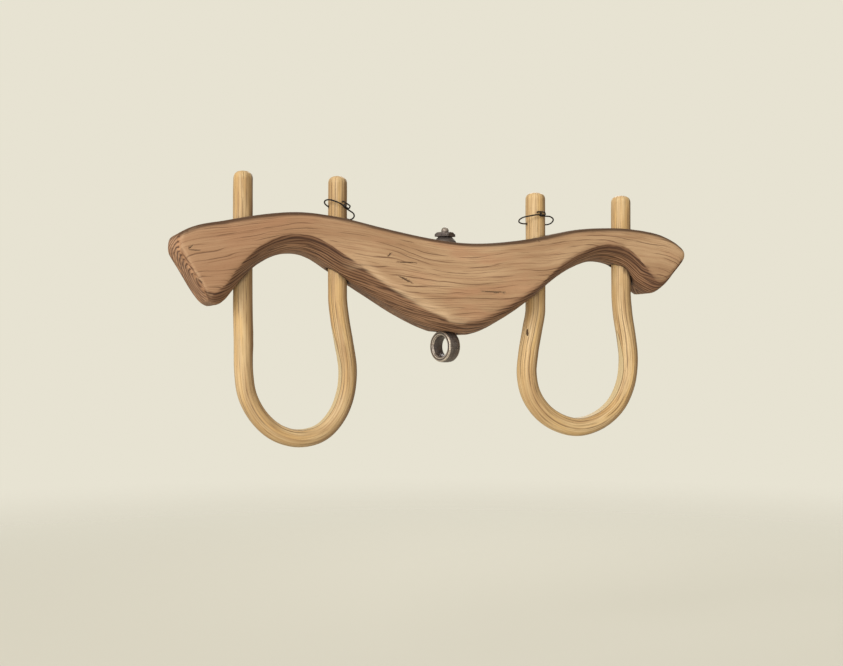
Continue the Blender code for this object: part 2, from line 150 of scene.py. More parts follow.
# two that meet in a point, cut one at a time because their wedges overlap
FORKED_CHECKS = [(-559.5, -8.0, 30, -0.02, 1.6, 10), (-567.4, -2.2, 10, 0.95, 1.6, 12)]
BACK_CHECKS = [(-520, 10, 90, 0.10, 0.9, 6), (-250, 12, 120, -0.10, 0.8, 4),
               (-20, -50, 150, 0.0, 1.0, 6), (180, -40, 90, 0.05, 0.7, 4),
               (380, 40, 110, -0.03, 0.8, 5)]
CHECK_STATIONS = 11
CHECK_WAVER = 0.35                   # how far it strays from one station to the next, in mm
CHECK_PROUD = 2 * MM                 # how far its cutter stands out of the face
CHECK_FLARE = 1.6                    # how much wider than the check its cutter is there
# a check down from the top of the left bow's outer leg: x, height and length in mm
TOP_CHECK = (-452.5, 163, 19)
TOP_CHECK_HALVES = (1.3, 0.2)        # half its width at its top and at its foot, in mm
WIRE_HOLE = 2.5 * MM
WIRE_HOLE_LENGTH = 0.07
# a dark nick in the right bow's inner leg: its middle and half sizes in mm
NICK = ((194.6, -12.4, -168), (2.7, 3.8, 11.0))
ON_WALL = 0.04 * MM                  # how near a cutter's surface a point of its cut lies
RIM_MARK = 0.6                       # the mark at the rim of a cut, against 1 inside it


# ================================ numbers and meshes ==========================================

def hashed(cells, seed):
    """Repeatable numbers from 0 to 1 for whole-number places, (..., 3)."""
    mixed = (cells[..., 0] * 374761393 + cells[..., 1] * 668265263 + cells[..., 2] * 1440662683
             + seed * 1013904223) & 0xFFFFFFFF
    mixed = ((mixed ^ (mixed >> 13)) * 1274126177) & 0xFFFFFFFF
    mixed = ((mixed ^ (mixed >> 15)) * 2246822519) & 0xFFFFFFFF
    return (mixed >> 8 & 0xFFFF) / 65535.0


def noise(places, seed):
    """Smooth noise from -1 to 1 at places, (..., 3), with one wave in about two units."""
    cells = np.floor(places).astype(np.int64)
    share = places - cells
    share = share * share * (3 - 2 * share)
    total = np.zeros(places.shape[:-1])
    for corner in range(8):
        step = np.array([corner & 1, corner >> 1 & 1, corner >> 2 & 1])
        weight = np.prod(np.where(step == 1, share, 1 - share), axis=-1)
        total += weight * hashed(cells + step, seed)
    return 2 * total - 1


def scallops(places, seed):
    """0 in the middle of each tool mark to about 1 on the ridges between them, at (n, 3)."""
    cells = np.floor(places).astype(np.int64)
    nearest = np.full(len(places), 9.0)
    for corner in range(27):
        step = np.array([corner % 3 - 1, corner // 3 % 3 - 1, corner // 9 - 1])
        cell = cells + step
        middle = cell + np.stack([hashed(cell, seed + k) for k in range(3)], axis=1)
        nearest = np.minimum(nearest, ((places - middle) ** 2).sum(axis=1))
    return np.clip(nearest, 0, 1)


def smoothstep(low, high, values):
    t = np.clip((values - low) / (high - low), 0, 1)
    return t * t * (3 - 2 * t)


def window(values, rise, full, fall, gone):
    """0 up to rise, 1 from full to fall, and 0 past gone."""
    return smoothstep(rise, full, values) * (1 - smoothstep(fall, gone, values))


def evaluated(piece):
    """Applies the piece's modifiers to its mesh."""
    graph = bpy.context.evaluated_depsgraph_get()
    mesh = bpy.data.meshes.new_from_object(piece.evaluated_get(graph))
    piece.modifiers.clear()
    piece.data = mesh
    return piece


def linked(name, data):
    """A new object in the scene, of a mesh, a lamp or a camera."""
    made = bpy.data.objects.new(name, data)
    bpy.context.scene.collection.objects.link(made)
    return made


def solid(name, body):
    """A new object from a finished bmesh, which it frees."""
    mesh = bpy.data.meshes.new(name)
    body.to_mesh(mesh)
    body.free()
    return linked(name, mesh)


def walled(body, first, second):
    """Faces between two rings of the same number of points."""
    for k in range(len(first)):
        after = (k + 1) % len(first)
        body.faces.new((first[k], first[after], second[after], second[k]))


def refined(node, name, voxel):
    """A finer copy of a CAD node's mesh, in its place."""
    piece = linked(name, frame["nodes"][node].data.copy())
    piece.data.materials.clear()
    change = piece.modifiers.new("finer", "REMESH")
    change.mode = "VOXEL"
    change.voxel_size = voxel
    return evaluated(piece)


def arrays(mesh):
    """The mesh's points, (n, 3), and its edges, (m, 2)."""
    points = np.empty(len(mesh.vertices) * 3)
    mesh.vertices.foreach_get("co", points)
    edges = np.empty(len(mesh.edges) * 2, np.int32)
    mesh.edges.foreach_get("vertices", edges)
    return points.reshape(-1, 3), edges.reshape(-1, 2)


def set_points(mesh, points):
    mesh.vertices.foreach_set("co", points.astype(np.float32).ravel())
    mesh.update()


def normals_of(mesh):
    normals = np.empty(len(mesh.vertices) * 3, np.float32)
    mesh.vertex_normals.foreach_get("vector", normals)
    return normals.reshape(-1, 3).astype(float)


def neighbours_mean(values, edges):
    """The mean over each point's neighbours of its values, (n, k)."""
    count = len(values)
    degree = np.maximum(np.bincount(edges.ravel(), minlength=count), 1)
    columns = [(np.bincount(edges[:, 0], values[edges[:, 1], k], count)
                + np.bincount(edges[:, 1], values[edges[:, 0], k], count)) / degree
               for k in range(values.shape[1])]
    return np.stack(columns, axis=1)


def eased(points, edges, rounds):
    """Smoothed without shrinking: each step in is followed by a slightly longer one out."""
    for _round in range(rounds):
        points = points + EASE_IN * (neighbours_mean(points, edges) - points)
        points = points - EASE_OUT * (neighbours_mean(points, edges) - points)
    return points


def bulge(mesh, rounds):
    """How sharply the surface bends out at each point, about 1/radius in 1/mm.

    Hollows are below 0. The values are averaged with their neighbours' for some rounds.
    """
    points, edges = arrays(mesh)
    normals = normals_of(mesh)
    spans = ((points[edges[:, 0]] - points[edges[:, 1]]) ** 2).sum(axis=1)
    count = len(points)
    degree = np.maximum(np.bincount(edges.ravel(), minlength=count), 1)
    span = (np.bincount(edges[:, 0], spans, count)
            + np.bincount(edges[:, 1], spans, count)) / degree
    lift = ((points - neighbours_mean(points, edges)) * normals).sum(axis=1)
    values = (2 * lift / np.maximum(span, 1e-12) * MM)[:, None]
    for _round in range(rounds):
        values = 0.5 * (values + neighbours_mean(values, edges))
    return values[:, 0]


def store(mesh, name, values):
    """A point attribute for the materials: one number or three at each point."""
    single = values.ndim == 1
    made = mesh.attributes.new(name, "FLOAT" if single else "FLOAT_VECTOR", "POINT")
    made.data.foreach_set("value" if single else "vector", values.astype(np.float32).ravel())


def mark_cut(piece, cutter, marked):
    """Sets the piece's marked attribute where the cutter has left a wall."""
    corners = [vert.co.copy() for vert in cutter.data.vertices]
    walls = BVHTree.FromPolygons(corners, [face.vertices for face in cutter.data.polygons])
    inner = KDTree(len(corners))
    for index, corner in enumerate(corners):
        inner.insert(corner, index)
    inner.balance()
    points = arrays(piece.data)[0]
    layer = piece.data.attributes[marked].data
    box = np.array(corners)
    near = ((points > box.min(axis=0) - MM) & (points < box.max(axis=0) + MM)).all(axis=1)
    for index in np.flatnonzero(near):
        place = Vector(points[index])
        if walls.find_nearest(place, ON_WALL)[0] is not None:
            deep = inner.find(place)[2] < ON_WALL
            layer[int(index)].value = 1.0 if deep else RIM_MARK


def cut(piece, cutter, marked=None):
    """Cuts the piece; its marked attribute becomes 1 deep in the cut and less at its rim."""
    change = piece.modifiers.new("cut", "BOOLEAN")
    change.operation = "DIFFERENCE"
    change.solver = "EXACT"
    change.object = cutter
    evaluated(piece)
    if marked:
        mark_cut(piece, cutter, marked)
    bpy.data.objects.remove(cutter)


def wire_hole(hinge):
    """A round cutter along the axis that a wire ring turns on."""
    body = bmesh.new()
    bmesh.ops.create_cone(body, cap_ends=True, segments=24, radius1=WIRE_HOLE,
                          radius2=WIRE_HOLE, depth=WIRE_HOLE_LENGTH)
    turn = Vector(hinge["axis"]).to_track_quat("Z", "Y").to_matrix().to_4x4()
    bmesh.ops.transform(body, matrix=Matrix.Translation(Vector(hinge["pos_m"])) @ turn,
                        verts=body.verts)
    return solid("wire_hole", body)


def check_cutter(name, checks, surface, inwards, seed):
    """Thin wedges into the face at y = surface, one for each drying check in a table."""
    body = bmesh.new()
    rng = np.random.default_rng(seed)
    for x, z, length, slope, width, depth in checks:
        waver = np.cumsum(rng.normal(0, CHECK_WAVER, CHECK_STATIONS))
        rows = []
        for k in range(CHECK_STATIONS):
            share = k / (CHECK_STATIONS - 1)
            open_by = math.sin(math.pi * (0.02 + 0.96 * share)) ** 0.8
            along = (x + (share - 0.5) * length) * MM
            middle = (z + (share - 0.5) * length * slope + waver[k]) * MM
            half = width / 2 * open_by * MM * CHECK_FLARE
            out = surface - inwards * CHECK_PROUD
            deep = surface + inwards * (depth * open_by + 0.2) * MM
            rows.append([body.verts.new((along, out, middle + half)),
                         body.verts.new((along, out, middle - half)),
                         body.verts.new((along, deep, middle))])
        for first, second in zip(rows, rows[1:]):
            walled(body, first, second)
        body.faces.new(rows[0])
        body.faces.new(rows[-1])
    bmesh.ops.recalc_face_normals(body, faces=body.faces)
    return solid(name, body)


def nick():
    """A small lens-shaped cutter."""
    body = bmesh.new()
    bmesh.ops.create_icosphere(body, subdivisions=3, radius=1)
    middle, half = (Vector(triple) * MM for triple in NICK)
    for vert in body.verts:
        vert.co = middle + Vector(a * b for a, b in zip(vert.co, half))
    return solid("nick", body)


def top_check(radius):
    """A thin wedge into the front of the left bow's outer leg, down from its top."""
    x, height, length = (value * MM for value in TOP_CHECK)
    body = bmesh.new()
    rows = [[body.verts.new((x + side * half * MM, y, z)) for side, y in
             ((-1, -1.2 * radius), (1, -1.2 * radius), (0.2, -0.3 * radius))]
            for half, z in zip(TOP_CHECK_HALVES, (height + CHECK_PROUD, height - length))]
    walled(body, *rows)
    body.faces.new(rows[0])
    body.faces.new(rows[1])
    bmesh.ops.recalc_face_normals(body, faces=body.faces)
    return solid("top_check", body)


# ================================ materials ===================================================

class Tree:
    """Builds one material's nodes."""

    def __init__(self, name):
        self.material = bpy.data.materials.new(name)
        self.material.use_nodes = True
        self.nodes = self.material.node_tree.nodes
        self.links = self.material.node_tree.links
        self.shader = self.nodes["Principled BSDF"]

    def add(self, kind, inputs, output=0, **settings):
        made = self.nodes.new("ShaderNode" + kind)
        for name, value in settings.items():
            setattr(made, name, value)
        for name, value in inputs.items():
            if isinstance(value, bpy.types.NodeSocket):
                self.links.new(value, made.inputs[name])
            else:
                made.inputs[name].default_value = value
        return made.outputs[output]

    def attribute(self, name, vector=False):
        return self.add("Attribute", {}, "Vector" if vector else "Fac", attribute_name=name)

    def stretch(self, place, x, y, z):
        """The place divided by a size along each axis."""
        return self.add("VectorMath", {0: place, 1: (1 / x, 1 / y, 1 / z)}, operation="MULTIPLY")

    def shift(self, place, offset):
        return self.add("VectorMath", {0: place, 1: offset}, operation="ADD")

    def noise(self, place, detail=2.0, roughness=0.5):
        return self.add("TexNoise", {"Vector": place, "Scale": 1.0, "Detail": detail,
                                     "Roughness": roughness})

    def number(self, operation, first, second=0.0, third=0.0, clamp=False):
        return self.add("Math", {0: first, 1: second, 2: third}, operation=operation,
                        use_clamp=clamp)

    def axis(self, place, name):
        return self.add("SeparateXYZ", {"Vector": place}, name)

    def combined(self, **parts):
        """A place from its X, Y and Z, which are 0 where they aren't given."""
        return self.add("CombineXYZ", parts)

    def between(self, value, low, high, out_low=0.0, out_high=1.0):
        """A smooth step from out_low at low to out_high at high."""
        return self.add("MapRange", {"Value": value, "From Min": low, "From Max": high,
                                     "To Min": out_low, "To Max": out_high},
                        interpolation_type="SMOOTHSTEP")

    def lines(self, place, spacing, half, run, low, high, sway=1.0):
        """Thin lines along a place's X, spaced along its Y, each broken at its own places.

        Each line is up to 2 * half wide, and its runs are about run long, in mm. It shows where
        its own noise passes from low to high. Sway is how far the lines wander together.
        """
        along = self.axis(place, "X")
        across = self.axis(place, "Y")
        slow = self.noise(self.stretch(place, 190, 5 * spacing, 60), 1.0)
        phase = self.number("MULTIPLY_ADD", across, 1 / spacing,
                            self.number("MULTIPLY", slow, 3.0 * sway))
        index = self.number("FLOOR", phase)
        share = self.number("SUBTRACT", phase, index)
        off = self.number("ABSOLUTE", self.number("SUBTRACT", share, 0.5))
        own = self.combined(X=self.number("MULTIPLY", along, 1 / run),
                            Y=self.number("MULTIPLY", index, 7.31))
        strength = self.between(self.noise(own, 2.0, 0.6), low, high)
        width = self.number("MULTIPLY_ADD", strength, half / spacing, 0.01)
        line = self.between(off, self.number("MULTIPLY", width, 0.4), width, 1.0, 0.0)
        return self.number("MULTIPLY", line, strength)

    def mix(self, factor, first, second):
        made = self.nodes.new("ShaderNodeMix")
        made.data_type = "RGBA"
        made.clamp_factor = True
        for socket, value in ((0, factor), (6, first), (7, second)):
            if isinstance(value, bpy.types.NodeSocket):
                self.links.new(value, made.inputs[socket])
            else:
                made.inputs[socket].default_value = value
        return made.outputs[2]

    def painted(self, colour, where, strength, paint):
        """The colour with paint over it, as strong as said at most."""
        return self.mix(self.number("MULTIPLY", where, strength), colour, paint)

    def bump(self, height, distance, strength):
        return self.add("Bump", {"Height": height, "Distance": distance, "Strength": strength})

    def finish(self, colour, roughness, normal, specular=0.5):
        for name, value in (("Base Color", colour), ("Roughness", roughness),
                            ("Normal", normal)):
            if isinstance(value, bpy.types.NodeSocket):
                self.links.new(value, self.shader.inputs[name])
            elif value is not None:
                self.shader.inputs[name].default_value = value
        self.shader.inputs["Specular IOR Level"].default_value = specular
        return self.material


def srgb(red, green, blue):
    """A colour in the usual 0 to 255 numbers, as the shader's linear ones."""
    return (*(((value / 255 + 0.055) / 1.055) ** 2.4 for value in (red, green, blue)), 1)


def beam_wood():
    """Brown timber: long broken grain strokes, dense wavy ones underneath, arcs on the ends."""
    tree = Tree("carved_beam_wood")
    front = tree.attribute("front_grain", vector=True)
    below = tree.attribute("band_grain", vector=True)
    ends = tree.attribute("end_grain", vector=True)
    band_side = tree.attribute("band")
    is_end = tree.attribute("end")
    is_top = tree.attribute("top")
    wear_and_highlight = tree.attribute("wear_and_highlight")
    grimy_and_shaded = tree.attribute("grime_and_shade")
    shade = tree.attribute("shade")

    # colour that drifts over the timber, with redder and paler patches
    drift = tree.noise(tree.stretch(front, 220, 50, 60), 3.0)
    colour = tree.mix(tree.between(drift, 0.34, 0.66), srgb(168, 134, 101), srgb(192, 159, 124))
    reddish = tree.noise(tree.stretch(tree.shift(front, (400, 90, 0)), 120, 38, 45), 2.0)
    colour = tree.mix(tree.between(reddish, 0.50, 0.70, 0, 0.5), colour, srgb(180, 133, 101))
    # the left end is browner
    along = tree.axis(front, "X")
    colour = tree.mix(tree.between(along, -470, -180, 0.6, 0), colour, srgb(156, 116, 86))
    # growth bands and fine fibres along the grain
    sway = tree.noise(tree.stretch(front, 200, 70, 70), 1.0)
    wobble = tree.noise(tree.stretch(front, 34, 16, 20), 1.0)
    aside = tree.number("MULTIPLY_ADD", sway, 20.0, tree.number("MULTIPLY", wobble, 3.0))
    flow = tree.shift(front, tree.combined(Y=aside))
    growth = tree.noise(tree.stretch(flow, 420, 7, 30), 1.5)
    colour = tree.mix(tree.between(growth, 0.42, 0.60, 0, 0.30), colour, srgb(150, 110, 80))
    fibres = tree.noise(tree.stretch(flow, 60, 0.9, 3.0), 3.0, 0.6)
    colour = tree.mix(tree.between(fibres, 0.35, 0.7, 0, 0.25), colour, srgb(140, 100, 72))
    # dark strokes, thin and long
    fine = tree.lines(flow, 4.6, 0.6, 90, 0.40, 0.60)
    colour = tree.painted(colour, fine, 0.50, srgb(122, 86, 60))
    strokes = tree.lines(tree.shift(flow, (37, 3, 0)), 10.4, 0.85, 110, 0.40, 0.58)
    colour = tree.painted(colour, strokes, 0.72, srgb(94, 64, 44))
    pores = tree.noise(tree.stretch(flow, 9, 0.55, 1.2), 1.0)
    colour = tree.mix(tree.between(pores, 0.66, 0.74, 0, 0.25), colour, srgb(98, 66, 46))

    # underside and worked lower edge: darker, partly painted shade, with dense wavy lines
    wave = tree.noise(tree.stretch(below, 38, 22, 22), 1.0)
    waved = tree.shift(below, tree.combined(Y=tree.number("MULTIPLY", wave, 10.0)))
    dense = tree.lines(waved, 8.0, 2.1, 100, 0.26, 0.44)
    heavy = tree.lines(tree.shift(waved, (91, 4, 0)), 17.0, 2.6, 80, 0.36, 0.54)
    ragged = tree.noise(tree.stretch(waved, 26, 2.2, 9), 1.0)
    is_band = tree.between(tree.number("MULTIPLY_ADD", ragged, 0.18, band_side), 0.12, 0.88)
    wide = tree.noise(tree.stretch(waved, 130, 8, 20), 2.0)
    under = tree.mix(tree.between(wide, 0.36, 0.64), srgb(130, 95, 69), srgb(158, 120, 90))
    # painted shade just below the ridge
    under = tree.painted(under, shade, 0.5, srgb(96, 64, 44))
    under = tree.painted(under, dense, 0.90, srgb(80, 52, 36))
    under = tree.painted(under, heavy, 0.85, srgb(66, 42, 30))
    colour = tree.mix(is_band, colour, under)

    # end faces: curved growth rings
    ring_wave = tree.noise(tree.stretch(ends, 30, 22, 22), 2.0)
    ring_flow = tree.shift(ends, tree.combined(X=tree.number("MULTIPLY", ring_wave, 8.0)))
    turned = tree.combined(X=tree.axis(ring_flow, "Z"), Y=tree.axis(ring_flow, "X"))
    rings = tree.lines(turned, 8.6, 2.0, 90, 0.16, 0.38, 0.3)
    late_rings = tree.lines(tree.shift(turned, (40, 2, 0)), 4.3, 0.8, 50, 0.30, 0.56, 0.3)
    end_colour = tree.mix(tree.between(ring_wave, 0.35, 0.65), srgb(148, 108, 77),
                          srgb(184, 140, 106))
    end_colour = tree.painted(end_colour, late_rings, 0.45, srgb(104, 70, 50))
    rings = tree.number("MULTIPLY", rings, tree.between(is_end, 0.5, 1.0, 0.25, 1.0))
    end_colour = tree.painted(end_colour, rings, 0.88, srgb(80, 51, 36))
    colour = tree.mix(is_end, colour, end_colour)

    # a top painted dark, grime with painted shade along its edges; dark round the holes, grime
    # with painted shade; pale where hands and straps have rubbed, also a painted highlight along
    # the belly's ridge
    colour = tree.painted(colour, is_top, 0.86, srgb(64, 44, 32))
    # pale: a painted highlight with wear along the belly's ridge and the left tip's corner, faint
    # wear elsewhere
    rub_and_highlight_noise = tree.noise(tree.stretch(below, 60, 4.0, 12), 2.0)
    rub_and_highlight = tree.number("MULTIPLY", wear_and_highlight, tree.between(rub_and_highlight_noise, 0.34, 0.62, 0.25, 0.85))
    colour = tree.mix(rub_and_highlight, colour, srgb(212, 180, 144))
    # grime with painted shade round the holes and in the cracks
    colour = tree.painted(colour, grimy_and_shaded, 0.90, srgb(44, 30, 22))

    height = tree.number("MULTIPLY_ADD", strokes, -1.0, tree.number("MULTIPLY", fine, -0.5))
    height = tree.number("SUBTRACT", height, tree.number("MULTIPLY", fibres, 0.35))
    under_height = tree.number("MULTIPLY_ADD", heavy, -0.9, tree.number("MULTIPLY", dense, -0.6))
    end_height = tree.number("MULTIPLY", rings, -0.8)
    height = tree.add("Mix", {0: is_band, 2: height, 3: under_height})
    height = tree.add("Mix", {0: is_end, 2: height, 3: end_height})
    normal = tree.bump(height, 0.5 * MM, 0.75)
    rough = tree.between(fibres, 0.3, 0.7, 0.52, 0.72)
    rough = tree.number("SUBTRACT", rough, tree.number("MULTIPLY", wear_and_highlight, 0.14))
    rough = tree.number("MULTIPLY_ADD", is_top, 0.25, rough, clamp=True)
    return tree.finish(colour, rough, normal, specular=0.25)


def bow_wood(name, seed, deep, pale):
    """Pale straight-grained wood, streaked along the bend."""
    tree = Tree(name)
    place = tree.shift(tree.attribute("along_grain", vector=True), (seed * 913.0, 0, 0))
    is_end = tree.attribute("end")
    grimy_and_shaded = tree.attribute("grime_and_shade")
    wear_and_highlight = tree.attribute("wear_and_highlight")

    turn = tree.number("ARCTAN2", tree.axis(place, "Y"), tree.axis(place, "Z"))
    sway = tree.noise(tree.stretch(place, 70, 30, 30), 1.0)
    around = tree.number("MULTIPLY_ADD", turn, 20.0, tree.number("MULTIPLY", sway, 3.0))
    unrolled = tree.combined(X=tree.axis(place, "X"), Y=around)

    drift = tree.noise(tree.stretch(place, 120, 26, 26), 2.0)
    colour = tree.mix(tree.between(drift, 0.36, 0.66), deep, pale)
    golden = tree.noise(tree.stretch(tree.shift(place, (0, 70, 0)), 130, 11, 11), 2.0)
    colour = tree.mix(tree.between(golden, 0.46, 0.66, 0, 0.6), colour, srgb(208, 170, 110))
    fibres = tree.noise(tree.stretch(place, 60, 1.0, 1.0), 3.0, 0.6)
    colour = tree.mix(tree.between(fibres, 0.38, 0.7, 0, 0.42), colour, srgb(172, 132, 86))
    broad = tree.noise(tree.stretch(place, 160, 6, 6), 1.0)
    colour = tree.mix(tree.between(broad, 0.54, 0.68, 0, 0.5), colour, srgb(160, 122, 80))
    fine = tree.lines(unrolled, 4.8, 0.95, 110, 0.34, 0.54, 0.3)
    colour = tree.painted(colour, fine, 0.6, srgb(146, 108, 70))
    streaks = tree.lines(tree.shift(unrolled, (53, 1, 0)), 8.6, 1.0, 110, 0.42, 0.60, 0.3)
    colour = tree.painted(colour, streaks, 0.75, srgb(100, 72, 47))
    # painted shade: the sides facing away from the light are painted brown
    brown = tree.number("MULTIPLY", tree.attribute("painted_side_shade"),
                        tree.between(broad, 0.30, 0.60, 0.6, 1.0))
    colour = tree.mix(brown, colour, srgb(134, 102, 71))
    fleck = tree.noise(tree.stretch(place, 7, 0.9, 0.9), 1.0)
    colour = tree.mix(tree.between(fleck, 0.68, 0.76, 0, 0.55), colour, srgb(104, 72, 44))
    # the shaved inside is paler within dark edges, the tops show end grain, and painted shade with
    # grime darkens the legs where they enter the beam and in the cuts, with dirt round the wire's
    # hole
    flat_half = tree.attribute("flat_half")
    aside = tree.number("ABSOLUTE", tree.axis(place, "Y"))
    past = tree.number("SUBTRACT", aside, flat_half)
    inner = tree.between(tree.axis(place, "Z"), 6.0, 9.0)
    there = tree.number("MULTIPLY", inner, tree.between(flat_half, 0.5, 4.0))
    shaved = tree.number("MULTIPLY", there, tree.between(past, -1.2, 0.0, 0.68, 0.0))
    border = tree.number("MULTIPLY", there, tree.between(
        tree.number("ABSOLUTE", past), 0.4, 1.5, 0.8, 0.0))
    colour = tree.mix(shaved, colour, srgb(212, 192, 150))
    colour = tree.mix(border, colour, srgb(100, 72, 46))
    end_rings = tree.noise(tree.stretch(place, 40, 1.3, 4.0), 1.0)
    end_colour = tree.mix(tree.between(end_rings, 0.42, 0.62), srgb(206, 170, 120),
                          srgb(158, 118, 78))
    colour = tree.mix(is_end, colour, end_colour)
    colour = tree.painted(colour, wear_and_highlight, 0.3, srgb(224, 198, 152))
    # painted shade with grime below the beam and in the cuts, grime round the wire's hole
    colour = tree.painted(colour, grimy_and_shaded, 0.85, srgb(80, 55, 36))

    height = tree.number("ADD", tree.number("MULTIPLY", streaks, -0.8),
                         tree.number("MULTIPLY", fibres, -0.45))
    normal = tree.bump(height, 0.4 * MM, 0.7)
    rough = tree.between(fibres, 0.3, 0.7, 0.48, 0.66)
    return tree.finish(colour, rough, normal, specular=0.4)


def iron(name, dark, brown, bright, pitting=1.0):
    """Forged iron: mottled dark scale, a little rust, and pale edges from rubbing, which are also
    painted highlights.
    """
    tree = Tree(name)
    place = tree.add("VectorMath", {0: tree.attribute("place", vector=True), "Scale": 1 / MM},
                     operation="SCALE")
    wear_and_highlight = tree.attribute("wear_and_highlight")
    mottle = tree.noise(tree.stretch(place, 9, 9, 9), 4.0, 0.6)
    rust = tree.noise(tree.stretch(tree.shift(place, (50, 0, 0)), 16, 16, 16), 3.0, 0.6)
    pits = tree.noise(tree.stretch(place, 1.7, 1.7, 1.7), 2.0, 0.5)
    paler = (*(SCALE_PALER * value for value in dark[:3]), 1)
    colour = tree.mix(tree.between(mottle, 0.35, 0.65), dark, paler)
    colour = tree.mix(tree.between(rust, 0.48, 0.66, 0, 0.6), colour, brown)
    rub_and_highlight = tree.number("MULTIPLY", wear_and_highlight, tree.between(mottle, 0.25, 0.55, 0.55, 1.0))
    # pale rubbed edges, also a painted highlight
    colour = tree.mix(rub_and_highlight, colour, bright)
    height = tree.number("ADD", tree.number("MULTIPLY", pits, 0.5 * pitting),
                         tree.number("MULTIPLY", mottle, 0.8))
    normal = tree.bump(height, 0.4 * MM, 0.6)
    rough = tree.between(mottle, 0.3, 0.7, 0.42, 0.62)
    rough = tree.number("SUBTRACT", rough, tree.number("MULTIPLY", rub_and_highlight, 0.12))
    metal = tree.number("MULTIPLY_ADD", rub_and_highlight, 0.25, 0.6)
    tree.links.new(metal, tree.shader.inputs["Metallic"])
    return tree.finish(colour, rough, normal)


# ================================ the beam ====================================================

def outline_at(points, wanted, pick, fill):
    """The points' upper or lower outline, as pick says, smoothed and read at the wanted x."""
    low = points[:, 0].min()
    index = ((points[:, 0] - low) / OUTLINE_STEP).astype(int)
    values = np.full(index.max() + 1, fill)
    pick.at(values, index, points[:, 2])
    padded = np.pad(values, OUTLINE_MEAN // 2, mode="edge")
    values = np.convolve(padded, np.ones(OUTLINE_MEAN) / OUTLINE_MEAN, mode="valid")
    return np.interp(wanted, low + (np.arange(len(values)) + 0.5) * OUTLINE_STEP, values)


def hole_axes():
    """The holes for the bows' legs and for the draft bolt: (x, radius)."""
    axes = []
    for node in ("left_bow", "right_bow"):
        line = bow_line(node)
        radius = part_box(node)[1].y + BOW_PLAY
        axes += [(line[0][0], radius), (line[-1][0], radius)]
    return axes + [(0.0, SHANK_HOLE)]


def near_holes(points, axes, fade):
    """1 in the holes to 0 away from them, fading between two distances from their walls."""
    near = np.zeros(len(points))
    for x, radius in axes:
        distance = np.linalg.norm(points[:, :2] - (x, 0), axis=1)
        near = np.maximum(near, 1 - smoothstep(radius + fade[0], radius + fade[1], distance))
    return near


def kept_holes(points, axes):
    """Pushes what has sagged into a hole back to its wall."""
    for x, radius in axes:
        aside = points[:, :2] - (x, 0)
        distance = np.linalg.norm(aside, axis=1)
        inside = (distance < radius) & (distance > radius * 0.5)
        points[inside, :2] = (x, 0) + aside[inside] * (radius / distance[inside])[:, None]
    return points


def make_beam():
    piece = refined("yoke_beam", "carved_beam", BEAM_VOXEL)
    mesh = piece.data
    points, edges = arrays(mesh)
    axes = hole_axes()
    points = kept_holes(eased(points, edges, BEAM_EASING), axes)
    set_points(mesh, points)
    wears = 1 - near_holes(points, axes, CRISP_RIM)
    # hand-worn corners, except round the holes
    points = arrays(mesh)[0]
    soft = points
    for _round in range(SOFTENING):
        soft = soft + WEAR_STEP * (neighbours_mean(soft, edges) - soft)
    points = points + (soft - points) * wears[:, None]
    set_points(mesh, points)
    normals = normals_of(mesh)
    # tool marks, deepest on the worked edges, a slow unevenness, and dents along the corners
    marks = scallops(points / MM / CHISEL_CELL, 5)
    worked = 0.55 + 0.45 * smoothstep(0.05, 0.4, -normals[:, 2])
    drop = CHISEL_DEPTH * worked * (1 - marks)
    drop += UNEVEN_DEPTH * (noise(points / UNEVEN_SIZE, 3) + 1)
    dents = smoothstep(0.35, 0.8, noise(points / DENT_SIZE, 9))
    drop += DENT_DEPTH * dents * smoothstep(0.01, 0.05, bulge(mesh, 6))
    points = points - normals * (drop * wears)[:, None]
    set_points(mesh, kept_holes(points, axes))

    beam_attributes(mesh, axes)
    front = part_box("yoke_beam")[0].y
    # the checks' walls are painted dark: painted shade in the cracks
    cut(piece, check_cutter("front_checks", FRONT_CHECKS, front, 1, 21), "grime_and_shade")
    for fork in FORKED_CHECKS:
        cut(piece, check_cutter("forked_check", [fork], front, 1, 23), "grime_and_shade")
    cut(piece, check_cutter("back_checks", BACK_CHECKS, -front, -1, 22), "grime_and_shade")
    mesh = piece.data
    mesh.shade_smooth()
    mesh.materials.clear()
    mesh.materials.append(beam_wood())
    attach(piece, "yoke")
    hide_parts("yoke_beam")


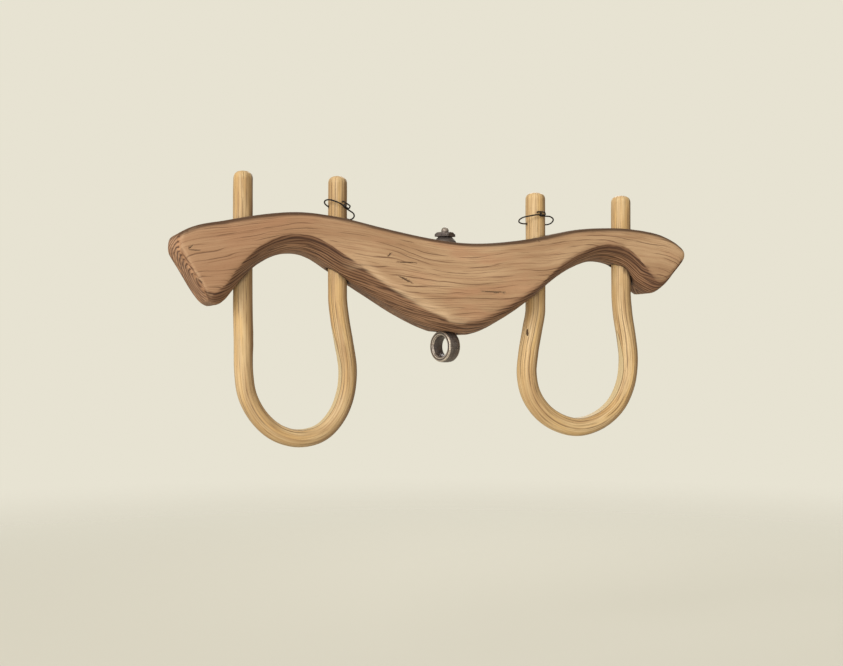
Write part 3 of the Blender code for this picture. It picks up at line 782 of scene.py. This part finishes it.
def beam_attributes(mesh, axes):
    """What the beam's wood reads: where its grain runs, its faces, its wear and its grime."""
    points = arrays(mesh)[0]
    normals = normals_of(mesh)
    x, y, z = points.T
    top = outline_at(points, x, np.maximum, -1.0)
    under = outline_at(points, x, np.minimum, 1.0)
    faces_front = (normals[:, 1] < -0.93) & (np.abs(x) < 0.56)
    ridge = outline_at(points[faces_front], x, np.minimum, 1.0)
    above = z - ridge

    # strokes on the front follow the top near it, and those below follow each neck seat
    follow = 0.12 + 0.62 * smoothstep(-0.15, 0.05, z)
    store(mesh, "front_grain", np.stack([x, z - top * follow + y, y], axis=1) / MM)
    seat = np.maximum(under, NECK_FLOW + 0.35 * (under - NECK_FLOW))
    store(mesh, "band_grain",
          np.stack([x, z - BAND_FOLLOW * seat + np.abs(y) * 0.8, z * 0.3], axis=1) / MM)
    ring = np.hypot((y - RING_CENTRE[0]) / RING_FLATNESS, z - RING_CENTRE[1])
    store(mesh, "end_grain", np.stack([ring, y, z], axis=1) / MM)

    end = smoothstep(0.56, 0.78, normals[:, 0] * np.sign(x)) * smoothstep(0.46, 0.50, np.abs(x))
    # faces turned down take the underside's darker colour, which is partly painted shade
    band = smoothstep(0.14, 0.40, -normals[:, 2]) * (1 - end)
    # towards the right the front is painted darker just above its lower edge, a painted shade so
    # that the edge looks to roll under softly instead of at a ridge
    rolled_edge_shade = smoothstep(0.03, 0.12, x) * (normals[:, 1] < 0)
    band = np.maximum(band, 0.55 * rolled_edge_shade * (1 - smoothstep(-0.004, 0.020, above)) * (1 - end))
    # round the belly the two faces melt into each other
    edges = arrays(mesh)[1]
    belly = window(x, -0.23, -0.12, 0.10, 0.16)
    melted = band[:, None]
    for _round in range(BELLY_MELT):
        melted = neighbours_mean(melted, edges)
    band = band + (melted[:, 0] - band) * belly
    store(mesh, "band", band)
    store(mesh, "end", end)
    # the top is painted dark with grime and painted shade, darkest along its two edges
    from_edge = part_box("yoke_beam")[1].y - np.abs(y)
    soiled_and_shaded = 1 - 0.5 * smoothstep(0.010, 0.030, from_edge)
    store(mesh, "top", smoothstep(0.10, 0.55, normals[:, 2]) * soiled_and_shaded)
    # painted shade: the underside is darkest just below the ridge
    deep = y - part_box("yoke_beam")[0].y
    store(mesh, "shade", band * (1 - smoothstep(0.006, 0.034, deep)) * (1 - 0.8 * belly))

    patchy = 0.5 + 0.5 * noise(points / (0.05, 0.03, 0.03), 31)
    # pale along the belly's ridge and on the left tip's front corner, a painted highlight on
    # rubbed wood, and faintly rubbed in patches
    rub_and_highlight = window(x, -0.27, -0.16, -0.04, 0.09)
    near_ridge = window(above, -0.007, 0.001, 0.002, 0.024)
    wear_and_highlight = near_ridge * rub_and_highlight * (normals[:, 1] < 0) * (0.75 + 0.25 * patchy)
    tip = window(-normals[:, 0], 0.14, 0.28, 0.34, 0.50)
    tip *= smoothstep(0.5, 0.8, -normals[:, 1]) * smoothstep(0.50, 0.53, -x)
    faint = smoothstep(0.012, 0.04, bulge(mesh, 5)) * smoothstep(0.62, 0.95, patchy)
    faint *= 1 - smoothstep(0.0, 0.2, normals[:, 2])     # dark with grime and painted shade, not rubbed, along the top
    store(mesh, "wear_and_highlight", np.clip(wear_and_highlight + 0.22 * tip + 0.35 * faint * (1 - band), 0, 1))
    # dirt and painted shade round the holes, and darker towards the back of the ends
    grime_and_shade = near_holes(points, axes, GRIME_AND_SHADE_RIM)
    grime_and_shade = np.maximum(grime_and_shade, 0.7 * end * smoothstep(0.036, 0.058, y))
    store(mesh, "grime_and_shade", grime_and_shade)


# ================================ the bows ====================================================

def hermite(places, values, wanted):
    """Smooth curve through values, (n, k), at rising places, read at the wanted ones."""
    slopes = np.gradient(values, places, axis=0)
    index = np.clip(np.searchsorted(places, wanted) - 1, 0, len(places) - 2)
    span = (places[index + 1] - places[index])[:, None]
    t = (wanted[:, None] - places[index][:, None]) / span
    start = (1 + 2 * t) * (1 - t) ** 2 * values[index] + t * (1 - t) ** 2 * span * slopes[index]
    end = t * t * (3 - 2 * t) * values[index + 1] + t * t * (t - 1) * span * slopes[index + 1]
    return start + end


def bow_line(node):
    """The bow's centre line, (x, z), from one leg's top round to the other's.

    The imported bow's outermost points along Y lie straight beside its centre line.
    """
    points, _edges = arrays(frame["nodes"][node].data)
    widest = points[:, 1].max()
    line = np.unique(np.round(points[points[:, 1] > widest - 0.05 * MM][:, (0, 2)], 5), axis=0)
    middle = ((line[:, 0].min() + line[:, 0].max()) / 2, -0.15)
    turn = np.arctan2(line[:, 0] - middle[0], middle[1] - line[:, 1])
    line = line[np.argsort(turn)]
    first = line[0] + (0, DOME_DEPTH)
    last = line[-1] + (0, DOME_DEPTH)
    return np.concatenate([[first], line, [last]])


def bow_mesh(name, line, radius, seed):
    """A whittled pole along a bow's line, with what its wood reads at each point."""
    steps = np.linalg.norm(np.diff(line, axis=0), axis=1)
    places = np.concatenate([[0], np.cumsum(steps)])
    length = places[-1]
    dome = DOME_DEPTH * (1 - np.cos(np.linspace(0, math.pi / 2, DOME_ROWS)))
    between = np.arange(DOME_DEPTH + BOW_STEP, length - DOME_DEPTH, BOW_STEP)
    wanted = np.concatenate([dome, between, length - dome[::-1]])
    centre = hermite(places, line, wanted)
    tangent = np.gradient(centre, wanted, axis=0)
    tangent /= np.linalg.norm(tangent, axis=1)[:, None]
    inward = np.stack([-tangent[:, 1], tangent[:, 0]], axis=1)
    from_top = np.minimum(wanted, length - wanted)
    cap = np.interp(from_top / DOME_DEPTH, DOME_DOWN, DOME_WIDTH)[:, None]
    tops = 1 - smoothstep(DOME_DEPTH, 2.5 * DOME_DEPTH, from_top)[:, None]
    start, full = BEND
    in_bend = window(wanted, start, full, length - full, length - start) ** 2

    turns = 2 * math.pi * np.arange(BOW_SIDES) / BOW_SIDES
    along, around = np.meshgrid(wanted, turns, indexing="ij")
    # whittled sides wander round the pole as they run along it, and show most at its tops
    runs = np.stack([along / WHITTLED_RUN, np.full_like(along, seed), np.zeros_like(along)],
                    axis=-1)
    sector = 2 * math.pi / WHITTLED_SIDES
    within = np.mod(around + 0.5 * noise(runs, seed) * sector, sector) - sector / 2
    flatness = math.cos(sector / 2) / np.cos(within)
    share = 1 - (1 - np.minimum(1, flatness)) * (0.30 + 0.35 * tops)
    spots = np.stack([along / KNIFE_RUN, np.cos(around) * 2.2, np.sin(around) * 2.2], axis=-1)
    shaved = 0.5 * (noise(spots, seed + 1) + 1)
    slow = 0.5 * (noise(spots * (0.3, 0.5, 0.5), seed + 2) + 1)
    reach = radius * cap * share - (KNIFE_DEPTH * shaved + SLOW_DEPTH * slow) * MM * cap
    # the inside of the bend is shaved to a flat
    limit = radius - INNER_FLAT * in_bend - 0.2 * MM
    flat_half = np.sqrt(np.maximum((radius - 0.6 * MM) ** 2 - limit ** 2, 0))
    inside = np.minimum(reach * np.cos(around), limit[:, None])
    aside = reach * np.sin(around)

    x = centre[:, :1] + inward[:, :1] * inside
    z = centre[:, 1:] + inward[:, 1:] * inside
    points = np.stack([x, aside, z], axis=-1).reshape(-1, 3)
    rows = len(wanted)
    faces = [(i * BOW_SIDES + k, i * BOW_SIDES + (k + 1) % BOW_SIDES,
              (i + 1) * BOW_SIDES + (k + 1) % BOW_SIDES, (i + 1) * BOW_SIDES + k)
             for i in range(rows - 1) for k in range(BOW_SIDES)]
    faces.append(tuple(range(BOW_SIDES - 1, -1, -1)))
    faces.append(tuple(range((rows - 1) * BOW_SIDES, rows * BOW_SIDES)))
    mesh = bpy.data.meshes.new(name)
    mesh.from_pydata(points.tolist(), [], faces)
    mesh.update()
    body = bmesh.new()
    body.from_mesh(mesh)
    bmesh.ops.recalc_face_normals(body, faces=body.faces)
    body.to_mesh(mesh)
    body.free()
    store(mesh, "along_grain", np.stack([along, aside, inside], axis=-1).reshape(-1, 3) / MM)
    store(mesh, "flat_half", np.repeat(flat_half, BOW_SIDES) / MM)
    end = 0.8 * (1 - smoothstep(0.0, 0.75 * DOME_DEPTH, from_top))
    store(mesh, "end", np.repeat(end, BOW_SIDES))
    store(mesh, "cut_grime_and_shade", np.zeros(len(points)))
    return mesh


def make_bow(node, name, joint, seed, tints):
    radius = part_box(node)[1].y
    piece = linked(name, bow_mesh(name, bow_line(node), radius, seed))
    hinge = next(j for j in frame["joints"] if j["name"] == joint)
    cut(piece, wire_hole(hinge))
    cut(piece, nick() if node == "right_bow" else top_check(radius), "cut_grime_and_shade")
    mesh = piece.data
    mesh.shade_smooth()
    mesh.set_sharp_from_angle(angle=SHARP_ANGLE)
    bow_wear(mesh, hinge)
    mesh.materials.clear()
    mesh.materials.append(bow_wood(name + "_wood", seed, *tints))
    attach(piece, node)
    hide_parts(node)


def bow_wear(mesh, hinge):
    """Painted shade with dirt where the legs enter the beam and in the cuts, dirt round the wire's
    hole, edges pale from rubbing, and sides painted brown as shade.
    """
    points = arrays(mesh)[0]
    x, _y, z = points.T
    beam_points = arrays(frame["nodes"]["yoke_beam"].data)[0]
    under = outline_at(beam_points, x, np.minimum, 1.0)
    top = outline_at(beam_points, x, np.maximum, -1.0)
    # painted shade on the legs just below the beam, ending at its top
    ragged = 4 * MM * noise(points / 0.012, 41)
    upper = smoothstep(-0.012, 0.002, z - under + ragged)
    upper *= 1 - smoothstep(-0.004, 0.004, z - top + 0.4 * ragged)
    from_hole = points - np.array(hinge["pos_m"])
    off_axis = np.linalg.norm(np.cross(from_hole, np.array(hinge["axis"])), axis=1)
    hole = 1 - smoothstep(2.6 * MM, 6.5 * MM, off_axis)
    hole *= np.linalg.norm(from_hole, axis=1) < 0.04
    # the walls of the nick and the check: grime with painted shade
    cut_grime_and_shade = np.empty(len(points), np.float32)
    mesh.attributes["cut_grime_and_shade"].data.foreach_get("value", cut_grime_and_shade)
    store(mesh, "grime_and_shade", np.clip(0.7 * upper + 0.7 * hole + cut_grime_and_shade, 0, 1))
    store(mesh, "wear_and_highlight", smoothstep(0.03, 0.09, bulge(mesh, 3)))
    store(mesh, "painted_side_shade", smoothstep(0.0, 0.70, normals_of(mesh) @ np.array(SHADED_SIDE)))


# ================================ iron and wire ===============================================

def make_iron(node, name, body, voxel, rounds, dent, finish, wear):
    """A softened, slightly beaten copy of an iron piece; wear is where its bends show bright, with
    painted highlight.
    """
    piece = refined(node, name, voxel)
    mesh = piece.data
    points, edges = arrays(mesh)
    points = eased(points, edges, rounds)
    set_points(mesh, points)
    beaten = (0.5 * (noise(points / DENT_SPREAD, 51) + 1)
              + 0.35 * (noise(points / FINE_SPREAD, 52) + 1))
    set_points(mesh, points - normals_of(mesh) * (dent * beaten)[:, None])
    mesh.shade_smooth()
    store(mesh, "place", arrays(mesh)[0])
    # handling hardly reaches what stands above the beam: less wear, and less painted highlight,
    # there
    above_beam_share = np.where(points[:, 2] > 0, ABOVE_BEAM_SHARE, 1.0)
    store(mesh, "wear_and_highlight", smoothstep(wear[0], wear[1], bulge(mesh, 2)) * above_beam_share)
    mesh.materials.clear()
    mesh.materials.append(finish)
    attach(piece, body)
    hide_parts(node)


def make_metal():
    forged = iron("forged_iron", srgb(86, 78, 74), srgb(104, 88, 76), srgb(224, 210, 194))
    capped = iron("capped_iron", srgb(78, 71, 68), srgb(94, 79, 69), srgb(196, 184, 172))
    wire = iron("black_wire", srgb(32, 28, 26), srgb(60, 44, 34), srgb(96, 84, 76), pitting=0.5)
    make_iron("draft_eye", "forged_eye", "draft_eye",
              voxel=0.75 * MM, rounds=5, dent=0.25 * MM, finish=forged, wear=(0.035, 0.16))
    make_iron("draft_nut", "forged_nut", "draft_eye",
              voxel=0.6 * MM, rounds=3, dent=0.2 * MM, finish=capped, wear=(0.10, 0.36))
    make_iron("draft_washer", "domed_washer", "yoke",
              voxel=0.7 * MM, rounds=4, dent=0.2 * MM, finish=capped, wear=(0.08, 0.30))
    for side in ("left", "right"):
        make_iron(f"{side}_bow_ring", f"{side}_wire_ring", f"{side}_ring",
                  voxel=0.42 * MM, rounds=6, dent=0.05 * MM, finish=wire, wear=(0.75, 1.3))


# ================================ camera, stage, light ========================================

def make_camera():
    ahead = Vector((math.sin(CAMERA_TURN), math.cos(CAMERA_TURN), 0))
    right = Vector((math.cos(CAMERA_TURN), -math.sin(CAMERA_TURN), 0))
    lens = bpy.data.cameras.new("camera")
    lens.lens = CAMERA_LENS
    camera = linked("camera", lens)
    camera.location = (-CAMERA_DISTANCE * ahead + CAMERA_ASIDE * right
                       + Vector((0, 0, CAMERA_HEIGHT)))
    camera.rotation_euler = (math.pi / 2 + CAMERA_TILT, 0, -CAMERA_TURN)
    bpy.context.scene.camera = camera


def make_floor():
    """A pale round floor below the yoke, which fades out before its edge."""
    body = bmesh.new()
    bmesh.ops.create_circle(body, cap_ends=True, segments=96, radius=FLOOR_RADIUS)
    floor = solid("floor", body)
    floor.location = (0, 0, cad_low.z - FLOOR_BELOW)
    tree = Tree("floor_cream")
    distance = tree.add("VectorMath", {0: tree.add("TexCoord", {}, "Object")}, "Value",
                        operation="LENGTH")
    tree.links.new(tree.between(distance, *FLOOR_FADE, 1.0, 0.0), tree.shader.inputs["Alpha"])
    floor.data.materials.append(tree.finish(FLOOR_CREAM, 0.9, None, specular=0.1))


def make_lamp(name, place, width, power):
    lamp = bpy.data.lights.new(name, "AREA")
    lamp.shape = "DISK"
    lamp.size = width
    lamp.energy = power
    thing = linked(name, lamp)
    thing.location = place
    thing.rotation_euler = (Vector(LAMP_AIM) - Vector(place)).to_track_quat("-Z", "Y").to_euler()


def make_light():
    """Pale all round where it is seen; its light is strongest from the upper left."""
    world = bpy.data.worlds.new("studio")
    world.use_nodes = True
    nodes, links = world.node_tree.nodes, world.node_tree.links
    seen = nodes["Background"]
    soft = nodes.new("ShaderNodeBackground")
    for background in (seen, soft):
        background.inputs["Color"].default_value = (*PAPER, 1)
    way = nodes.new("ShaderNodeTexCoord")
    towards = nodes.new("ShaderNodeVectorMath")
    towards.operation = "DOT_PRODUCT"
    towards.inputs[1].default_value = Vector(LIGHT_FROM).normalized()
    power = nodes.new("ShaderNodeMapRange")
    power.inputs["From Min"].default_value = -1.0
    power.inputs["To Min"].default_value = SOFT_LIGHT[0]
    power.inputs["To Max"].default_value = SOFT_LIGHT[1]
    ray = nodes.new("ShaderNodeLightPath")
    mixed = nodes.new("ShaderNodeMixShader")
    links.new(way.outputs["Generated"], towards.inputs[0])
    links.new(towards.outputs["Value"], power.inputs["Value"])
    links.new(power.outputs["Result"], soft.inputs["Strength"])
    links.new(ray.outputs["Is Camera Ray"], mixed.inputs[0])
    links.new(soft.outputs[0], mixed.inputs[1])
    links.new(seen.outputs[0], mixed.inputs[2])
    links.new(mixed.outputs[0], nodes["World Output"].inputs["Surface"])
    bpy.context.scene.world = world
    bpy.context.scene.view_settings.view_transform = "Standard"
    for lamp in LAMPS:
        make_lamp(*lamp)


make_camera()
make_floor()
make_light()
make_beam()
make_bow("left_bow", "bent_left_bow", "left_ring_swing", seed=1,
         tints=(srgb(178, 149, 108), srgb(202, 174, 131)))
make_bow("right_bow", "bent_right_bow", "right_ring_swing", seed=2,
         tints=(srgb(192, 162, 117), srgb(216, 187, 142)))
make_metal()
